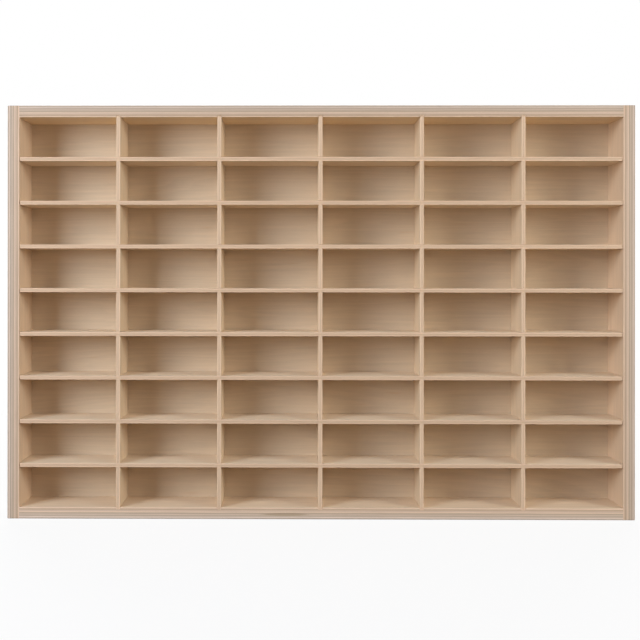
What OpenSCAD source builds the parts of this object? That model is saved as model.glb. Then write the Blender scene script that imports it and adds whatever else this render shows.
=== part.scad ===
// Cubby shelf: a shallow birch plywood frame, filled with an egg-crate grid of
// half-lapped dividers and shelves, with a captured back panel and a hanging rail.
// Millimetres. +Z is up, the open front faces -Y, the origin is the middle of the base.

/* [Cells] */
// Number of cells from left to right
columns = 6; // [2:1:8]
// Number of cells from bottom to top
rows = 9; // [3:1:12]
// Clear width of one cell
cell_w = 100; // [70:1:140]
// Clear height of one cell
cell_h = 41; // [30:1:60]
// Clear depth, from the frame's front edges to the back panel
cell_d = 48; // [40:1:80]

/* [Boards] */
// Thickness of the four frame boards
frame_t = 12; // [10:0.5:18]
// Thickness of the dividers and shelves
grid_t = 4; // [3:0.5:6]
// Thickness of the back panel
back_t = 4; // [3:0.5:6]
// How far the grid's front edges stand behind the frame's
grid_setback = 0.5; // [0:0.1:2]
// Sanded chamfer along the outer edges of the frame
arris = 0.6; // [0.2:0.1:1.5]

/* [Grid joints] */
// Play across the half-lap slots where dividers and shelves cross
lap_play = 0.15; // [0.05:0.05:0.4]
// Play along the depth where two crossing slots meet
lap_end_play = 0.2; // [0.1:0.1:1]
// Gap between the grid's rear edges and the back panel
grid_rear_gap = 0.2; // [0.1:0.1:1]
// Depth of the housings in the frame that hold the ends of the grid boards
housing_d = 2; // [1:0.5:4]
// Play across a housing
housing_play = 0.15; // [0.05:0.05:0.4]
// Play between a board's end and the bottom of its housing
housing_end_play = 0.2; // [0.1:0.1:0.8]
// How far behind the front edge the shelves' housings stop
housing_stop = 6; // [3:0.5:15]
// Gap between a shelf's front shoulder and the side board
shoulder_gap = 0.5; // [0.2:0.1:1.5]

/* [Back] */
// Depth of the groove that captures the back panel
back_groove_d = 5; // [3:0.5:7]
// Play of the back panel across its groove
back_play = 0.2; // [0.1:0.1:0.6]
// Gap between the back panel's edges and the bottom of the groove
back_edge_gap = 0.5; // [0.2:0.1:1.5]

/* [Hanging rail] */
// Thickness of the rail, which fills the recess behind the back panel
rail_t = 8; // [7:0.5:15]
// Height of the rail
rail_h = 45; // [38:1:80]
// Distance from a side board to the middle of the nearest keyhole
keyhole_inset = 60; // [20:1:65]
// Height of a keyhole's entry above the bottom of the rail
keyhole_z = 14; // [8:1:18]
// Diameter of the entry, which lets the screw's head in
keyhole_head_d = 9; // [7:0.5:11]
// Width of the neck, which takes the screw's shank
keyhole_neck_w = 4.5; // [3.5:0.5:6]
// Rise from the middle of the entry to the end of the neck
keyhole_rise = 12; // [8:1:16]
// Thickness of the lip that the screw's head hooks behind
keyhole_lip = 3; // [2:0.5:4.5]

/* [Corner dowels] */
// Diameter of a dowel
dowel_d = 6; // [5:0.5:8]
// Length of a dowel
dowel_l = 30; // [20:1:40]
// How far a dowel goes into the side board
dowel_in_side = 8; // [5:0.5:9]
// Diametral play of a dowel in its hole
dowel_play = 0.1; // [0.05:0.05:0.3]
// Room left for glue at each end of a dowel
dowel_glue_gap = 0.5; // [0.2:0.1:1.5]
// Distance of the two dowels of a corner from the front edge and from the back panel
dowel_inset = 11; // [8:0.5:14]
// Number of glue flutes around a dowel
dowel_flutes = 10; // [6:1:14]
// Depth of a glue flute
flute_d = 0.3; // [0.2:0.05:0.5]
// Chamfer on a dowel's ends
dowel_chamfer = 0.8; // [0.4:0.1:1.2]

/* [Hidden] */
// Overall size
inner_w = columns * cell_w + (columns - 1) * grid_t;
inner_h = rows * cell_h + (rows - 1) * grid_t;
width = inner_w + 2 * frame_t;
height = inner_h + 2 * frame_t;
depth = cell_d + back_t + rail_t;

// Planes along the depth
front_y = -depth / 2;
back_y = front_y + cell_d;
rail_y = back_y + back_t;
grid_front_y = front_y + grid_setback;
grid_rear_y = back_y - grid_rear_gap;
lap_y = (grid_front_y + grid_rear_y) / 2;

// Planes along the width and height
inner_x = inner_w / 2;
floor_z = frame_t;
ceiling_z = height - frame_t;

// Cuts run this far past the surface that they open
eps = 1;
$fn = 48;

ply_light = [0.85, 0.73, 0.58];
ply_grid = [0.83, 0.70, 0.55];
ply_back = [0.78, 0.66, 0.51];
beech = [0.80, 0.62, 0.44];

function divider_x(i) = -inner_x + i * cell_w + (i - 0.5) * grid_t;
function shelf_z(j) = floor_z + j * cell_h + (j - 1) * grid_t;

// A box given by its lowest and highest corners
module span_box(low, high) {
    translate(low)
        cube(high - low);
}

// A rectangle around the origin with its corners cut off
module eased_rectangle(w, h) {
    x = w / 2;
    y = h / 2;
    polygon([
        [-x + arris, -y], [x - arris, -y], [x, -y + arris], [x, y - arris],
        [x - arris, y], [-x + arris, y], [-x, y - arris], [-x, -y + arris]
    ]);
}

// The outside of the whole shelf with every edge sanded off, which each frame board is cut to
module eased_outline() {
    intersection() {
        linear_extrude(height)
            eased_rectangle(width, depth);
        translate([0, depth / 2, height / 2])
            rotate([90, 0, 0])
                linear_extrude(depth)
                    eased_rectangle(width, height);
        translate([-width / 2, 0, height / 2])
            rotate([90, 0, 90])
                linear_extrude(width)
                    eased_rectangle(depth, height);
    }
}

// A router cut with round ends: l is the distance between the middles of its ends, along +X,
// and the cut goes d deep along +Z
module routed_groove(l, w, d) {
    linear_extrude(d) {
        translate([0, -w / 2])
            square([l, w]);
        circle(d = w);
        translate([l, 0])
            circle(d = w);
    }
}

// The places of a right-hand corner's two dowels, where +Z runs into the side board;
// z is the middle of the top or bottom board
module at_corner_dowels(z) {
    for (y = [front_y + dowel_inset, back_y - dowel_inset])
        translate([inner_x, y, z])
            rotate([0, 90, 0])
                children();
}

// Blind holes for a corner's dowels, as deep on each side of the joint as the dowels plus glue room
module corner_dowel_holes(z) {
    in_side = dowel_in_side + dowel_glue_gap;
    in_end = dowel_l - dowel_in_side + dowel_glue_gap;
    at_corner_dowels(z)
        translate([0, 0, -in_end])
            cylinder(d = dowel_d + dowel_play, h = in_end + in_side);
}

// One fluted dowel with chamfered ends, along +Z and starting at the origin
module dowel() {
    r = dowel_d / 2;
    flute_side = flute_d * sqrt(2);
    difference() {
        rotate_extrude()
            polygon([
                [0, 0], [r - dowel_chamfer, 0], [r, dowel_chamfer],
                [r, dowel_l - dowel_chamfer], [r - dowel_chamfer, dowel_l], [0, dowel_l]
            ]);
        for (a = [0 : dowel_flutes - 1])
            rotate(a * 360 / dowel_flutes)
                translate([r, 0, dowel_l / 2])
                    rotate(45)
                        cube([flute_side, flute_side, dowel_l + 2 * eps], center = true);
    }
}

module corner_dowels(z) {
    color(beech)
        at_corner_dowels(z)
            translate([0, 0, dowel_in_side - dowel_l])
                dowel();
}

// The right side board: shelf housings, the back panel's groove and dowel holes in its inner face
module side_board() {
    housing_w = grid_t + housing_play;
    housing_y = front_y + housing_stop + housing_w / 2;
    back_w = back_t + back_play;
    color(ply_light)
        difference() {
            intersection() {
                eased_outline();
                span_box([inner_x, -depth, -eps], [width, depth, height + eps]);
            }
            // housings start behind the front edge and run into the back panel's groove
            for (j = [1 : rows - 1])
                translate([inner_x, housing_y, shelf_z(j) + housing_w / 2])
                    rotate([0, 90, 0])
                        rotate(90)
                            translate([0, 0, -eps])
                                routed_groove(back_y - housing_y, housing_w, housing_d + eps);
            // the groove stops inside the board's ends, so that nothing shows from above
            translate([inner_x, back_y + back_w / 2, floor_z - back_groove_d])
                rotate([0, -90, 0])
                    mirror([0, 0, 1])
                        translate([0, 0, -eps])
                            routed_groove(inner_h + 2 * back_groove_d, back_w, back_groove_d + eps);
            for (z = [floor_z / 2, height - frame_t / 2])
                corner_dowel_holes(z);
        }
}

// The top board, lying between the sides: divider housings, the back groove and dowel holes
module end_board() {
    housing_w = grid_t + housing_play;
    color(ply_light)
        difference() {
            intersection() {
                eased_outline();
                span_box([-inner_x, -depth, ceiling_z], [inner_x, depth, height + eps]);
            }
            // housings are open at the front, where the dividers' ends show
            for (i = [1 : columns - 1])
                span_box([divider_x(i) - housing_w / 2, front_y - eps, ceiling_z - eps],
                         [divider_x(i) + housing_w / 2, back_y + eps, ceiling_z + housing_d]);
            span_box([-width, back_y, ceiling_z - eps],
                     [width, back_y + back_t + back_play, ceiling_z + back_groove_d]);
            for (side = [0, 1])
                mirror([side, 0, 0])
                    corner_dowel_holes(height - frame_t / 2);
        }
}

module right_side() {
    side_board();
}

module left_side() {
    mirror([1, 0, 0])
        side_board();
}

module top_panel() {
    end_board();
}

module bottom_panel() {
    translate([0, 0, height])
        mirror([0, 0, 1])
            end_board();
}

// The back panel stands on the bottom of its groove and bears on the groove's front wall
module back_panel() {
    reach = back_groove_d - back_edge_gap;
    color(ply_back)
        span_box([-inner_x - reach, back_y, floor_z - back_groove_d],
                 [inner_x + reach, rail_y, ceiling_z + reach]);
}

// Everything that one keyhole takes out of the rail, from its entry at the origin towards -Y:
// a wide pocket for the screw's head lies behind the lip, which only the entry and the neck cut
module keyhole_cut() {
    rotate([0, -90, 90]) {
        translate([0, 0, -eps])
            routed_groove(keyhole_rise, keyhole_neck_w, rail_t + 2 * eps);
        translate([0, 0, keyhole_lip])
            routed_groove(keyhole_rise, keyhole_head_d, rail_t);
        translate([0, 0, -eps])
            cylinder(d = keyhole_head_d, h = rail_t + 2 * eps);
    }
}

module hanging_rail() {
    bottom = ceiling_z - rail_h;
    color(ply_light)
        difference() {
            span_box([-inner_x, rail_y, bottom], [inner_x, rail_y + rail_t, ceiling_z]);
            for (side = [-1, 1])
                translate([side * (inner_x - keyhole_inset), rail_y + rail_t, bottom + keyhole_z])
                    keyhole_cut();
        }
}

// A divider stands in its housings and has a slot, open at the front, for every shelf
module divider(i) {
    color(ply_grid)
        difference() {
            span_box([divider_x(i) - grid_t / 2, grid_front_y, floor_z - housing_d],
                     [divider_x(i) + grid_t / 2, grid_rear_y, ceiling_z + housing_d - housing_end_play]);
            for (j = [1 : rows - 1])
                span_box([divider_x(i) - grid_t, front_y - eps, shelf_z(j)],
                         [divider_x(i) + grid_t, lap_y + lap_end_play / 2, shelf_z(j) + grid_t + lap_play]);
        }
}

// A shelf has a slot, open at the rear, for every divider, and its notched ends enter the side boards
module shelf(j) {
    reach = housing_d - housing_end_play;
    notch_y = front_y + housing_stop + (grid_t + housing_play) / 2 + housing_end_play;
    color(ply_grid)
        difference() {
            span_box([-inner_x - reach, grid_front_y, shelf_z(j)],
                     [inner_x + reach, grid_rear_y, shelf_z(j) + grid_t]);
            for (i = [1 : columns - 1])
                span_box([divider_x(i) - (grid_t + lap_play) / 2, lap_y - lap_end_play / 2, shelf_z(j) - eps],
                         [divider_x(i) + (grid_t + lap_play) / 2, back_y + eps, shelf_z(j) + grid_t + eps]);
            for (side = [0, 1])
                mirror([side, 0, 0])
                    span_box([inner_x - shoulder_gap, front_y - eps, shelf_z(j) - eps],
                             [width, notch_y, shelf_z(j) + grid_t + eps]);
        }
}

module dowels_top_right() {
    corner_dowels(height - frame_t / 2);
}

module dowels_top_left() {
    mirror([1, 0, 0])
        corner_dowels(height - frame_t / 2);
}

module dowels_bottom_right() {
    corner_dowels(frame_t / 2);
}

module dowels_bottom_left() {
    mirror([1, 0, 0])
        corner_dowels(frame_t / 2);
}

left_side();
right_side();
top_panel();
bottom_panel();
back_panel();
hanging_rail();
for (i = [1 : columns - 1])
    divider(i);
for (j = [1 : rows - 1])
    shelf(j);
dowels_top_left();
dowels_top_right();
dowels_bottom_left();
dowels_bottom_right();
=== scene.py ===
# %% [markdown]
# # A shallow cubby shelf in birch plywood
#
# The real object is an open shelf of six by nine low cells. Four 12 mm boards make its frame, and a grid of
# 4 mm boards is slotted together inside them. Everything is raw, sanded birch, so the whole look rests on
# three things: the plies that show on every edge, the quiet figure of the veneer, and the way that light
# falls into the cells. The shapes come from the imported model. This script rounds their sharp edges, gives
# every board its own plywood, and sets up the camera and the lamps.

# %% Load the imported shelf
import math

import bmesh
import bpy
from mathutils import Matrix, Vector


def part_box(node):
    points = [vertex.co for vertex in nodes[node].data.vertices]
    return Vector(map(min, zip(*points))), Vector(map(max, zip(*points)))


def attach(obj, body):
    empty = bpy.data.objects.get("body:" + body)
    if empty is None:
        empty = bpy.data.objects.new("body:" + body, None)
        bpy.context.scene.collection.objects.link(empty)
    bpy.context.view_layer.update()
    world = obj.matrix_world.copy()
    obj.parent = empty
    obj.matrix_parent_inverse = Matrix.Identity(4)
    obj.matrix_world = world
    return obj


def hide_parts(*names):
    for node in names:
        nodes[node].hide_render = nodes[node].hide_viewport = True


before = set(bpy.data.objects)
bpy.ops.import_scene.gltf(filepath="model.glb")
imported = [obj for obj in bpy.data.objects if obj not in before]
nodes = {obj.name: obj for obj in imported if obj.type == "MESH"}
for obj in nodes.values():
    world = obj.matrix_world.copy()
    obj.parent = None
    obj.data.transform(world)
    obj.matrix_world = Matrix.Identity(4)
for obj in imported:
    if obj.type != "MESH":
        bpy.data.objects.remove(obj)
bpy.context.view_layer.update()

# %% [markdown]
# ## The camera
#
# The photograph looks at the shelf squarely, with the shelf a little off the middle of the picture. Turning
# the camera towards the shelf would make its upright edges lean, so the camera looks straight ahead and its
# lens is shifted instead. The edges of the frame in the picture fit a camera one metre away and a quarter of
# a metre up, turned by half a degree.

# %% Camera
CAMERA_PLACE = (-0.0282, -1.0057, 0.2492)
CAMERA_ANGLES = (90, -0.046, 0.483)
lens_data = bpy.data.cameras.new("camera")
lens_data.sensor_width = 36.0
lens_data.lens = 53.47
lens_data.shift_x = 0.0547
lens_data.shift_y = -0.0678
camera = bpy.data.objects.new("camera", lens_data)
camera.location = CAMERA_PLACE
camera.rotation_euler = [math.radians(angle) for angle in CAMERA_ANGLES]
bpy.context.scene.collection.objects.link(camera)
bpy.context.scene.camera = camera
print("camera at", camera.location[:])

# %% [markdown]
# ## Rounding the arrises
#
# A sanded board has no truly sharp edge: a stroke of fine paper leaves each arris with a radius of a few
# tenths of a millimetre, and that thin line catches the light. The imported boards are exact, so their edges
# are sharp. Each board is copied, the loose triangles of the copy are merged into whole flat faces, and its
# long outside edges get a small round bevel. A Bevel modifier could do this too, but it would also round the
# rims of the hidden dowel holes, and here only the edges that a hand would reach are picked.

# %% A rounded copy of a board
MERGE_DISTANCE = 1e-6
FLAT_ANGLE = math.radians(0.5)
SHARP_ANGLE = math.radians(25)
SHORTEST_ARRIS = 0.0025


def is_arris(edge):
    """True for a long outside corner, which is what sanding rounds."""
    return (
        len(edge.link_faces) == 2
        and edge.is_convex
        and edge.calc_face_angle(0) > SHARP_ANGLE
        and edge.calc_length() > SHORTEST_ARRIS
    )


def eased_board(node, radius):
    """Replaces a CAD board by a merged copy with rounded arrises, and returns the new piece."""
    work = bmesh.new()
    work.from_mesh(nodes[node].data)
    bmesh.ops.remove_doubles(work, verts=work.verts, dist=MERGE_DISTANCE)
    bmesh.ops.dissolve_limit(work, angle_limit=FLAT_ANGLE, verts=work.verts, edges=work.edges)
    arrises = [edge for edge in work.edges if is_arris(edge)]
    bmesh.ops.bevel(
        work,
        geom=arrises,
        offset=radius,
        offset_type="OFFSET",
        segments=2,
        profile=0.5,
        affect="EDGES",
        clamp_overlap=True,
        material=-1,
    )
    mesh = bpy.data.meshes.new(f"{node}_eased")
    work.to_mesh(mesh)
    work.free()
    mesh.materials.clear()
    piece = bpy.data.objects.new(f"{node}_board", mesh)
    bpy.context.scene.collection.objects.link(piece)
    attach(piece, "root")
    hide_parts(node)
    print(f"{piece.name}: {len(arrises)} arrises, {len(mesh.polygons)} faces")
    return piece


# %% [markdown]
# The frame's boards get a radius of 0.2 mm and the thin ones 0.25 mm, about what a few strokes leave on them.
# The dividers are numbered from the left, and the shelves from the bottom. Each new piece stands for its
# packed board, which is hidden from view but stays the one that other things bump into.

# %% Ease every board
FRAME_EASE = 0.0002
GRID_EASE = 0.00025
DIVIDERS = [f"divider_{number}" for number in range(1, 6)]
SHELVES = [f"shelf_{number}" for number in range(1, 9)]
boards = {}
for node in ("left_side", "right_side", "top_panel", "bottom_panel"):
    boards[node] = eased_board(node, FRAME_EASE)
boards["back_panel"] = eased_board("back_panel", GRID_EASE)
boards["hanging_rail"] = eased_board("hanging_rail", GRID_EASE)
for node in DIVIDERS:
    boards[node] = eased_board(node, GRID_EASE)
for node in SHELVES:
    boards[node] = eased_board(node, GRID_EASE)

# %% [markdown]
# ## Writing shader maths as Python
#
# A plywood material needs a lot of arithmetic, and a wall of node-making lines would hide it. So one small
# class holds a node's output and overloads the operators: `1 - mask * 0.5` then adds the Math nodes by
# itself. Every other node comes from one method, which sets the node's settings before its sockets.

# %% Sockets as numbers
class Wire:
    """The output of a node, which can be used in a Python expression."""

    def __init__(self, finish, socket):
        self.finish = finish
        self.socket = socket

    def maths(self, operation, first, second=None, clamp=False):
        """The result of a Math node on one or two values."""
        inputs = {"Value": first} if second is None else {"Value": first, "Value_001": second}
        return self.finish.add("ShaderNodeMath", {"operation": operation, "use_clamp": clamp}, inputs)

    def __add__(self, other):
        return self.maths("ADD", self, other)

    __radd__ = __add__

    def __sub__(self, other):
        return self.maths("SUBTRACT", self, other)

    def __rsub__(self, other):
        return self.maths("SUBTRACT", other, self)

    def __mul__(self, other):
        return self.maths("MULTIPLY", self, other)

    __rmul__ = __mul__

    def __truediv__(self, other):
        return self.maths("DIVIDE", self, other)

    def __rtruediv__(self, other):
        return self.maths("DIVIDE", other, self)

    def __abs__(self):
        return self.maths("ABSOLUTE", self)

    def fraction(self):
        """What is left of the value when its whole part is taken away."""
        return self.maths("FRACT", self)

    def whole(self):
        """The value rounded down to a whole number."""
        return self.maths("FLOOR", self)

    def held(self):
        """The same value, kept between 0 and 1."""
        return self.maths("ADD", self, 0.0, clamp=True)


# %% Nodes from one method
class Finish:
    """A node tree that is being filled, and the one method that adds a node to it."""

    def __init__(self, tree):
        self.tree = tree
        self.tree.nodes.clear()

    def socket(self, sockets, key):
        """The socket with that number or identifier, or else with that name."""
        for socket in sockets:
            if socket.identifier == key:
                return socket
        return sockets[key]

    def add(self, kind, settings=None, inputs=None, output=0):
        """Adds a node, sets its settings, then its sockets, and returns one of its outputs."""
        node = self.tree.nodes.new(kind)
        for key, value in (settings or {}).items():
            setattr(node, key, value)
        for key, value in (inputs or {}).items():
            target = self.socket(node.inputs, key)
            if isinstance(value, Wire):
                self.tree.links.new(value.socket, target)
            else:
                target.default_value = value
        return Wire(self, self.socket(node.outputs, output)) if node.outputs else None

    def ramp(self, value, stops, interpolation="LINEAR"):
        """A colour ramp: stops are (position, colour) pairs."""
        wire = self.add("ShaderNodeValToRGB", inputs={"Fac": value})
        ramp = wire.socket.node.color_ramp
        ramp.interpolation = interpolation
        while len(ramp.elements) < len(stops):
            ramp.elements.new(1.0)
        for element, (position, colour) in zip(ramp.elements, stops):
            element.position = position
            element.color = colour
        return wire

    def mix(self, factor, first, second):
        """Two colours mixed: the first at 0, the second at 1."""
        inputs = {"Factor_Float": factor, "A_Color": first, "B_Color": second}
        return self.add("ShaderNodeMix", {"data_type": "RGBA"}, inputs, "Result_Color")

    def scaled(self, colour, factor):
        """A colour made brighter or darker by a factor."""
        inputs = {"Vector": colour, "Scale": factor}
        return self.add("ShaderNodeVectorMath", {"operation": "SCALE"}, inputs, "Vector")

    def step(self, value, low, high):
        """0 below low, 1 above high, and a soft step between."""
        settings = {"interpolation_type": "SMOOTHSTEP"}
        return self.add("ShaderNodeMapRange", settings, {"Value": value, "From Min": low, "From Max": high})

    def noise(self, vector, stretch, detail=2.0, roughness=0.5, distortion=0.0, shift=0.0):
        """Noise that is stretched by a different factor along each axis, as a grain is."""
        inputs = {"Vector": vector, "Scale": stretch, "Location": (0.0, shift, 0.0)}
        place = self.add("ShaderNodeMapping", {"vector_type": "POINT"}, inputs)
        inputs = {
            "Vector": place,
            "Scale": 1.0,
            "Detail": detail,
            "Roughness": roughness,
            "Distortion": distortion,
        }
        return self.add("ShaderNodeTexNoise", {"noise_dimensions": "3D"}, inputs, "Fac")


# %% [markdown]
# A picture stores its colours so that equal steps look equal to the eye, but a shader counts light. Half of
# the light shows as 188 in a picture, not as 128. The colours below are written as a picture shows them,
# because that is how they were compared with the photograph, and are turned into amounts of light.

# %% Materials and colours
def new_material(name):
    """An empty material, and the finish that fills it."""
    material = bpy.data.materials.new(name)
    material.use_nodes = True
    return material, Finish(material.node_tree)


def colour(red, green, blue):
    """A colour as a picture shows it, 0 to 255, turned into the linear values that a shader uses."""

    def linear(value):
        value /= 255
        return value / 12.92 if value <= 0.04045 else ((value + 0.055) / 1.055) ** 2.4

    return linear(red), linear(green), linear(blue), 1.0


print(f"188 in a picture is {colour(188, 188, 188)[0]:.2f} of the light")

# %% [markdown]
# ## Birch plywood as a solid
#
# Plywood is a stack of thin veneers whose grain turns by a right angle from one to the next. An image
# wrapped round a board would tear at its edges, where the plies show, so the material is worked out through
# the whole solid. Each board is measured in three directions: along its grain, across it, and through its
# thickness. The depth through the board says which ply a point is in. The ply's grain direction then decides
# whether a cut edge shows long fibres or the pores of end grain, on every face and in every slot, without
# any special case.

# %% One board's directions
AXES = ("X", "Y", "Z")
PER_MILLIMETRE = 1000.0


def board_directions(finish, node, grain, thickness):
    """Distances in mm along the grain, across it and through the board, and the board's thickness."""
    place = finish.add("ShaderNodeTexCoord", output="Object")
    parts = {}
    for axis in AXES:
        parts[axis] = finish.add("ShaderNodeSeparateXYZ", inputs={"Vector": place}, output=axis)
    low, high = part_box(node)
    across = next(axis for axis in AXES if axis not in (grain, thickness))
    start = low[AXES.index(thickness)]
    through = (parts[thickness] - start) * PER_MILLIMETRE
    depth = (high[AXES.index(thickness)] - start) * PER_MILLIMETRE
    return parts[grain] * PER_MILLIMETRE, parts[across] * PER_MILLIMETRE, through, depth


def facing(finish, axis):
    """How squarely the surface faces along an axis, from 0 to 1."""
    normal = finish.add("ShaderNodeTexCoord", output="Normal")
    return abs(finish.add("ShaderNodeSeparateXYZ", inputs={"Vector": normal}, output=axis))


# %% [markdown]
# The veneer on a birch face is peeled from the log in one long sheet. The knife meets the yearly rings at a
# grazing angle, so they spread out into wide, wandering contours with very little contrast. Over them lie
# the fibres, fine as hair, short pores, and now and then a warmer streak. A Wave texture could draw the
# contours, but as evenly as a comb, so here they are the level lines of a slow noise. The other layers are
# the same noise with other stretches. Each stretch says how quickly the layer changes along the grain and
# across it, in steps per millimetre. A pair called a rise says at which value of the noise a mask begins,
# and at which it is full.

# %% The figure of a face
HILLS = (0.0018, 0.022, 1.0)
CLOUDS = (0.008, 0.03, 1.0)
BANDS = (0.012, 0.42, 1.0)
FIBRES = (0.05, 2.1, 1.0)
PORES = (0.33, 3.6, 1.0)
STREAKS = (0.018, 0.23, 1.0)
RINGS_PER_HILL = 17.0
RING_RISE = (0.0, 0.75)
RING_END = (0.86, 1.0)
PORE_RISE = (0.66, 0.74)
STREAK_RISE = (0.66, 0.8)
CLOUD_CONTRAST = 0.16
BAND_CONTRAST = 0.17
FIBRE_CONTRAST = 0.18
RING_SHADE = 0.04
PORE_SHADE = 0.09
MEAN_BRIGHTNESS = 1.02
NEXT_SHEET = 37.0


def veneer_figure(finish, along, across, seed):
    """Brightness of the veneer round 1, a mask of its warm streaks, its fibres and its pores."""
    sheet_inputs = {"X": along, "Y": across, "Z": seed * NEXT_SHEET}
    sheet = finish.add("ShaderNodeCombineXYZ", inputs=sheet_inputs)
    hills = finish.noise(sheet, HILLS, 2.0, 0.45, 0.3)
    ring = (hills * RINGS_PER_HILL).fraction()
    contour = finish.step(ring, *RING_RISE) * (1 - finish.step(ring, *RING_END))
    cloud = (finish.noise(sheet, CLOUDS, 3.0, shift=3.1) - 0.5) * CLOUD_CONTRAST
    fibre = finish.noise(sheet, FIBRES, 3.0, 0.6)
    band = (finish.noise(sheet, BANDS, 3.0, 0.55) - 0.5) * BAND_CONTRAST
    pore = finish.step(finish.noise(sheet, PORES, 1.0), *PORE_RISE)
    streak = finish.step(finish.noise(sheet, STREAKS, shift=9.0), *STREAK_RISE)
    grain = cloud + (fibre - 0.5) * FIBRE_CONTRAST + band
    brightness = MEAN_BRIGHTNESS + grain - contour * RING_SHADE - pore * PORE_SHADE
    return brightness, streak, fibre, pore


print(f"a fibre is about {1 / FIBRES[1]:.1f} mm wide and {1 / FIBRES[0]:.0f} mm long")

# %% [markdown]
# On an edge the plies alternate. Those whose grain runs along the edge are smooth, with fine lines. The
# others show their cut ends, which drink in more light and look a shade darker. A thin brown glue line parts
# them, and because the press never squeezes every veneer alike, the lines wander by a few tenths of a
# millimetre. The average colours of the plies are listed from the outside of the frame inwards. Each board
# then makes every one of its plies a little lighter or darker, so that no two stacks are alike.

# %% The colours of the plies
FRAME_PLIES = [
    colour(186, 165, 147),
    colour(220, 198, 179),
    colour(185, 163, 143),
    colour(204, 181, 159),
    colour(187, 163, 141),
    colour(220, 192, 165),
    colour(205, 177, 153),
    colour(193, 164, 138),
    colour(222, 191, 163),
]
DIVIDER_PLIES = [colour(222, 191, 160), colour(215, 182, 151), colour(221, 189, 158)]
SHELF_PLIES = [colour(218, 185, 155), colour(211, 178, 146), colour(217, 184, 154)]
BACK_PLIES = [colour(213, 188, 158), colour(198, 170, 141), colour(212, 187, 158)]
GLUE = colour(140, 105, 76)
print(f"{len(FRAME_PLIES)} plies in the frame boards, {len(SHELF_PLIES)} in the thin ones")

# %% [markdown]
# One trick makes the fibres simple: in a crossed ply the two directions along and across are swapped, so
# that the same stretched noise serves every ply and always follows its own grain. The whole part of a number
# that grows by one from ply to ply says which ply a point is in. Its fraction says how near the glue is.

# %% The edge of the stack
WANDER = (0.014, 0.014, 0.05)
WANDER_WIDTH = 0.5
PLY_FIBRES = (0.05, 0.9, 2.6)
PLY_PORES = (0.3, 6.0, 6.0)
PLY_PATCHES = (0.02, 0.02, 0.8)
PLY_PORE_RISE = (0.62, 0.72)
GLUE_LINE = (0.02, 0.09)
OUTER_SKIN = (0.02, 0.03)
PLY_FIBRE_CONTRAST = 0.32
PATCH_CONTRAST = 0.28
OWN_CONTRAST = 0.1
PLY_PORE_SHADE = 0.08
GLUE_STRENGTH = 0.5
NEXT_BLOCK = 11.0
NEXT_PLY = 7.0
NEXT_STACK = 17.3
JUST_BELOW = 0.001


def ply_edge(finish, along, across, through, depth, plies, seed, outer_first):
    """Colour of the cut edge of the stack, masks of its glue and of its crossed plies, and its fibres."""
    block_inputs = {"X": along, "Y": across, "Z": through + seed * NEXT_BLOCK}
    block = finish.add("ShaderNodeCombineXYZ", inputs=block_inputs)
    wander = (finish.noise(block, WANDER, 3.0) - 0.5) * WANDER_WIDTH
    from_outside = through if outer_first else depth - through
    share = ((from_outside + wander) / depth).held()
    stack = share * (len(plies) - JUST_BELOW)
    ply = stack.whole()
    level = stack.fraction()
    inside = finish.step(0.5 - abs(share - 0.5), *OUTER_SKIN)
    glue = (1 - finish.step(0.5 - abs(level - 0.5), *GLUE_LINE)) * inside
    crossed = (ply * 0.5).fraction() * 2.0
    with_grain = along + (across - along) * crossed
    over_grain = across + (along - across) * crossed
    wood_inputs = {"X": with_grain, "Y": over_grain, "Z": through + ply * NEXT_PLY}
    wood = finish.add("ShaderNodeCombineXYZ", inputs=wood_inputs)
    fibre = finish.noise(wood, PLY_FIBRES, 3.0, 0.6)
    pore = finish.step(finish.noise(wood, PLY_PORES, 1.0), *PLY_PORE_RISE)
    patch = (finish.noise(wood, PLY_PATCHES) - 0.5) * PATCH_CONTRAST
    chance = {"W": ply + seed * NEXT_STACK}
    own = finish.add("ShaderNodeTexWhiteNoise", {"noise_dimensions": "1D"}, chance, "Value")
    shade = 1.0 + (fibre - 0.5) * PLY_FIBRE_CONTRAST + patch
    shade = shade + (own - 0.5) * OWN_CONTRAST - pore * PLY_PORE_SHADE
    stops = [(number / len(plies), tone) for number, tone in enumerate(plies)]
    tone = finish.scaled(finish.ramp(share, stops, "CONSTANT"), shade)
    return finish.mix(glue * GLUE_STRENGTH, tone, GLUE), glue, crossed, fibre


# %% [markdown]
# The mills patch and fill the faces, but not the inner veneers. On the photographed shelf one of them has a
# brown flaw in the bottom board, about five centimetres long, left of the middle. A soft spindle marks its
# place, and the fibres fray its outline.

# %% The flaw in the bottom board
FLAW_BROWN = colour(152, 129, 100)
FLAW_STRENGTH = 0.6
FLAW_MIDDLE = -36.0
FLAW_REACH = 30.0
FLAW_HEIGHT = 5.2
FLAW_THICKNESS = 1.9
FLAW_CORE = 1.2
FLAW_FRAY = 0.6
FLAW_RISE = (0.0, 0.6)


def flaw_mask(finish, along, through, fibre):
    """1 inside the flaw and 0 outside it, from distances in mm."""
    sideways = abs((along - FLAW_MIDDLE) / FLAW_REACH)
    upwards = abs((through - FLAW_HEIGHT) / FLAW_THICKNESS)
    nearness = FLAW_CORE - sideways * sideways - upwards * upwards - fibre * FLAW_FRAY
    return finish.step(nearness, *FLAW_RISE)


print(f"flaw at {FLAW_MIDDLE:.0f} mm from the middle")

# %% [markdown]
# A board's material joins the two: the veneer where the surface faces through the thickness, and the stack
# everywhere else. A bump far finer than the fibres keeps the raw wood from looking like painted card.

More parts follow.
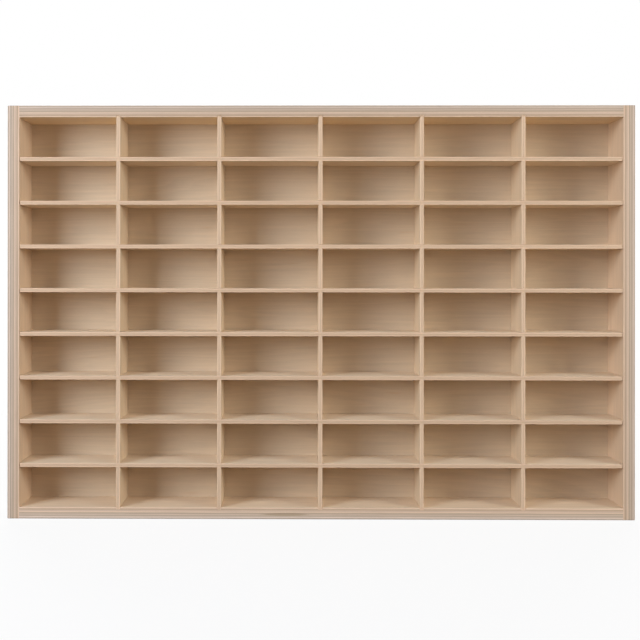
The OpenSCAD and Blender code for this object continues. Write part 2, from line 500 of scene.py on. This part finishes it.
# %% One plywood material per board
WOOD_ROUGHNESS = 0.62
WOOD_SPECULAR = 0.28
FIBRE_ROUGHNESS = 0.12
GLUE_SMOOTHNESS = 0.08
WARM_STREAK = colour(209, 173, 132)
STREAK_STRENGTH = 0.45
EDGE_BRIGHTNESS = 1.03
CUT_END_SHADE = 0.05
FACE_RISE = (0.55, 0.9)
PORE_DEPTH = 0.5
BUMP_STRENGTH = 0.22
BUMP_DEPTH = 0.00012
NEXT_BOARD_ALONG = 431.0
NEXT_BOARD_ACROSS = 173.0


def plywood(node, grain, thickness, plies, face, tone, seed, outer_first):
    """Raw sanded birch ply for one board, with its own seed so that no two boards show the same sheet."""
    material, finish = new_material(f"birch_ply_{node}")
    place_along, place_across, through, depth = board_directions(finish, node, grain, thickness)
    along = place_along + seed * NEXT_BOARD_ALONG
    across = place_across + seed * NEXT_BOARD_ACROSS
    brightness, streak, face_fibre, pore = veneer_figure(finish, along, across, seed)
    veneer = finish.scaled(finish.mix(streak * STREAK_STRENGTH, face, WARM_STREAK), brightness)
    edge, glue, crossed, edge_fibre = ply_edge(
        finish, along, across, through, depth, plies, seed, outer_first
    )
    if node == "bottom_panel":
        flaw = flaw_mask(finish, place_along, through, edge_fibre)
        edge = finish.mix(flaw * FLAW_STRENGTH, edge, FLAW_BROWN)
    end_on = facing(finish, grain)
    cut_end = end_on + (1 - end_on * 2) * crossed
    edge = finish.scaled(edge, (EDGE_BRIGHTNESS - cut_end * CUT_END_SHADE) * tone)
    on_face = finish.step(facing(finish, thickness), *FACE_RISE)
    height = edge_fibre + (face_fibre - pore * PORE_DEPTH - edge_fibre) * on_face
    bump_inputs = {"Strength": BUMP_STRENGTH, "Distance": BUMP_DEPTH, "Height": height}
    smooth_glue = glue * (1 - on_face) * GLUE_SMOOTHNESS
    shader_inputs = {
        "Base Color": finish.mix(on_face, edge, veneer),
        "Roughness": WOOD_ROUGHNESS + (face_fibre - 0.5) * FIBRE_ROUGHNESS - smooth_glue,
        "Specular IOR Level": WOOD_SPECULAR,
        "Normal": finish.add("ShaderNodeBump", inputs=bump_inputs, output="Normal"),
    }
    shader = finish.add("ShaderNodeBsdfPrincipled", inputs=shader_inputs)
    finish.add("ShaderNodeOutputMaterial", inputs={"Surface": shader})
    return material


# %% [markdown]
# The grain of the side boards and of the dividers stands upright, along their length. That of the top, the
# bottom, the shelves, the back and the rail runs from left to right. The top, the bottom and the shelves have
# the palest faces, and the others are a shade darker. This is painted light and shade: darker for the boards
# whose faces stand in the shade of the cells, and paler for those whose tops catch the light. The number
# after the face makes the whole edge of a board lighter or darker, and the last value says whether its first
# ply is the outer one.

# %% Dress the boards
# The back, divider and side faces are darkened as painted shade for the shade in the cells, and the top,
# bottom and shelf faces are lightened as painted light.
SIDE_FACE_PAINTED_SHADE = colour(220, 190, 158)
TOP_FACE_PAINTED_LIGHT = colour(242, 216, 179)
BOTTOM_FACE_PAINTED_LIGHT = colour(233, 208, 178)
DIVIDER_FACE_PAINTED_SHADE = colour(219, 192, 159)
SHELF_FACE_PAINTED_LIGHT = colour(235, 213, 185)
BACK_FACE_PAINTED_SHADE = colour(214, 191, 162)
board_plan = [
    ("left_side", "Z", "X", FRAME_PLIES, SIDE_FACE_PAINTED_SHADE, 0.95, True),
    ("right_side", "Z", "X", FRAME_PLIES, SIDE_FACE_PAINTED_SHADE, 0.96, False),
    ("top_panel", "X", "Z", FRAME_PLIES, TOP_FACE_PAINTED_LIGHT, 0.93, False),
    ("bottom_panel", "X", "Z", FRAME_PLIES, BOTTOM_FACE_PAINTED_LIGHT, 1.06, True),
    ("back_panel", "X", "Y", BACK_PLIES, BACK_FACE_PAINTED_SHADE, 1.0, True),
    ("hanging_rail", "X", "Y", BACK_PLIES, BACK_FACE_PAINTED_SHADE, 1.0, True),
]
for node in DIVIDERS:
    board_plan.append((node, "Z", "X", DIVIDER_PLIES, DIVIDER_FACE_PAINTED_SHADE, 1.0, True))
for node in SHELVES:
    board_plan.append((node, "X", "Z", SHELF_PLIES, SHELF_FACE_PAINTED_LIGHT, 1.0, True))
for seed, (node, grain, thickness, plies, face, tone, outer_first) in enumerate(board_plan, 1):
    material = plywood(node, grain, thickness, plies, face, tone, seed, outer_first)
    boards[node].data.materials.append(material)
print(f"{len(board_plan)} plywood materials")

# %% [markdown]
# ## The dowels
#
# Two fluted beech dowels sit in each corner joint. Nobody sees them once the shelf is glued, but a user of
# the part may take it apart, so they get beech: a pinker brown than birch, with the short dark flecks that
# beech shows on every surface. Their shape is right as packed, flutes and all, so these nodes stay and only
# get a finish. The dowels lie from left to right, so the flecks are stretched along X. Here the stretches
# are in steps per metre.

# %% Beech
BEECH = colour(200, 160, 122)
BEECH_FLECK = colour(158, 112, 76)
BEECH_FLECKS = (260.0, 1500.0, 1500.0)
BEECH_FIBRES = (60.0, 1900.0, 1900.0)
FLECK_RISE = (0.6, 0.72)
FLECK_STRENGTH = 0.6
DARKEST_BEECH = 0.92
BEECH_CONTRAST = 0.16
BEECH_ROUGHNESS = 0.5
BEECH_FIBRE_ROUGHNESS = 0.1
BEECH_BUMP = 0.2
BEECH_BUMP_DEPTH = 0.0001
DOWEL_CORNERS = ("top_left", "top_right", "bottom_left", "bottom_right")
beech_material, beech = new_material("beech_dowel")
place = beech.add("ShaderNodeTexCoord", output="Object")
fleck = beech.step(beech.noise(place, BEECH_FLECKS, 1.0), *FLECK_RISE)
fibre = beech.noise(place, BEECH_FIBRES, 3.0)
flecked = beech.mix(fleck * FLECK_STRENGTH, BEECH, BEECH_FLECK)
bump_inputs = {"Strength": BEECH_BUMP, "Distance": BEECH_BUMP_DEPTH, "Height": fibre}
shader_inputs = {
    "Base Color": beech.scaled(flecked, DARKEST_BEECH + fibre * BEECH_CONTRAST),
    "Roughness": BEECH_ROUGHNESS + fibre * BEECH_FIBRE_ROUGHNESS,
    "Normal": beech.add("ShaderNodeBump", inputs=bump_inputs, output="Normal"),
}
beech_shader = beech.add("ShaderNodeBsdfPrincipled", inputs=shader_inputs)
beech.add("ShaderNodeOutputMaterial", inputs={"Surface": beech_shader})
for corner in DOWEL_CORNERS:
    for material_slot in nodes[f"dowels_{corner}"].material_slots:
        material_slot.material = beech_material
print(f"beech in {len(DOWEL_CORNERS)} corners")

# %% [markdown]
# ## Floor and background
#
# The shelf stands on a pale floor in front of white. More light would bleach the wood as well, so the white
# comes from what the camera sees: for camera rays, and for reflections, the floor and the world glow at a
# strength of one. Near the shelf a part of the floor stays an ordinary matt surface, which keeps a soft
# shadow under the bottom board. For all other rays the room is dim and warm, because deep in the cells the
# light that has bounced from wood to wood is a rich brown.

# %% What the camera sees
def seen_directly(finish):
    """1 for rays from the camera, mirrors and glass, and 0 for light on its way between surfaces."""
    kinds = ("Is Camera Ray", "Is Glossy Ray", "Is Transmission Ray")
    camera_ray, glossy_ray, clear_ray = [finish.add("ShaderNodeLightPath", output=kind) for kind in kinds]
    return (camera_ray + glossy_ray + clear_ray).held()


# %% Floor
FLOOR_HALF = 15.0
SHADOW_END = 0.35
GLOW_START = 0.9
GLOW_NEAR = 0.88
WHITE = (1.0, 1.0, 1.0, 1.0)
PALE_FLOOR = (0.95, 0.95, 0.95, 1.0)
DIM_FLOOR = (0.19, 0.14, 0.10, 1.0)
work = bmesh.new()
bmesh.ops.create_grid(work, x_segments=1, y_segments=1, size=FLOOR_HALF)
floor_mesh = bpy.data.meshes.new("floor")
work.to_mesh(floor_mesh)
work.free()
floor = bpy.data.objects.new("floor", floor_mesh)
bpy.context.scene.collection.objects.link(floor)

floor_material, paint = new_material("floor_paint")
place = paint.add("ShaderNodeTexCoord", output="Object")
distance = paint.add("ShaderNodeVectorMath", {"operation": "LENGTH"}, {"Vector": place}, "Value")
far = paint.step(distance, SHADOW_END, GLOW_START)
seen = seen_directly(paint)
matt = paint.add("ShaderNodeBsdfDiffuse", inputs={"Color": paint.mix(seen, DIM_FLOOR, PALE_FLOOR)})
glow = paint.add("ShaderNodeEmission", inputs={"Color": WHITE, "Strength": 1.0})
share = seen * (GLOW_NEAR + far * (1 - GLOW_NEAR))
mixed = paint.add("ShaderNodeMixShader", inputs={"Fac": share, "Shader": matt, "Shader_001": glow})
paint.add("ShaderNodeOutputMaterial", inputs={"Surface": mixed})
floor.data.materials.append(floor_material)
print(f"floor of {2 * FLOOR_HALF:.0f} m by {2 * FLOOR_HALF:.0f} m")

# %% [markdown]
# The world does the same behind the floor: the camera sees plain white, and the light between the surfaces
# gets a faint warm brown, at a fiftieth of that strength.

# %% World
ROOM_LEVEL = 0.02
ROOM_COLOUR = (1.7, 0.42, 0.14, 1.0)
world = bpy.data.worlds.new("white_room")
world.use_nodes = True
bpy.context.scene.world = world
air = Finish(world.node_tree)
seen = seen_directly(air)
strength = ROOM_LEVEL + seen * (1 - ROOM_LEVEL)
sky_inputs = {"Color": air.mix(seen, ROOM_COLOUR, WHITE), "Strength": strength}
sky = air.add("ShaderNodeBackground", inputs=sky_inputs)
air.add("ShaderNodeOutputWorld", inputs={"Surface": sky})
print("room level", ROOM_LEVEL)

# %% [markdown]
# ## Lamps
#
# The light can be read from the cells. On every back the left third lies in a soft shadow, which comes from
# a large box at the left of the camera, and the right end is a shade darker too, from another at the right.
# On each shelf both shadows leave a bright hump with its peak at the back. The light from the left is a
# little cooler, as daylight is. The tops of the cells are dark while the fronts of the shelves are bright,
# so a third, weaker box hangs high up and far in front, where it lights the fronts evenly and hardly reaches
# into the cells. Two more stand behind, where the camera of the photograph sees nothing of them, for whoever
# looks at the back. One bright sky would be simpler, but it would fill every cell evenly. With single boxes
# each shadow has its own lamp, which can be moved and sized until that shadow lies right.

# %% Soft boxes
SHELF_MIDDLE = Vector((0.0, 0.0, 0.2))
PLAIN_LIGHT = (1.0, 1.0, 1.0)


def soft_box(name, place, width, height, power, tint=PLAIN_LIGHT):
    """A rectangular lamp at place, aimed at the middle of the shelf, in metres and watts."""
    data = bpy.data.lights.new(name, "AREA")
    data.shape = "RECTANGLE"
    data.size = width
    data.size_y = height
    data.energy = power
    data.color = tint
    lamp = bpy.data.objects.new(name, data)
    lamp.location = place
    lamp.visible_camera = False
    aim = SHELF_MIDDLE - lamp.location
    lamp.rotation_euler = aim.to_track_quat("-Z", "Y").to_euler()
    bpy.context.scene.collection.objects.link(lamp)
    print(f"{name}: {power} W at {aim.length:.2f} m")


soft_box("key_left", (-1.29, -1.14, 0.685), 0.73, 0.94, 25.3, (0.90, 1.0, 1.13))
soft_box("fill_right", (1.435, -0.895, 0.625), 0.66, 0.75, 19.3, (0.95, 1.0, 1.01))
soft_box("front_high", (0.11, -2.63, 2.90), 1.33, 1.33, 17.5)
soft_box("rear_left", (-0.9, 1.9, 1.2), 1.2, 1.2, 26.0)
soft_box("rear_right", (0.9, 1.9, 1.2), 1.2, 1.2, 26.0)

# %% [markdown]
# ## The view transform
#
# The picture is shown without any film look, so that colours come out as written.

# %% Colour
bpy.context.scene.view_settings.view_transform = "Standard"
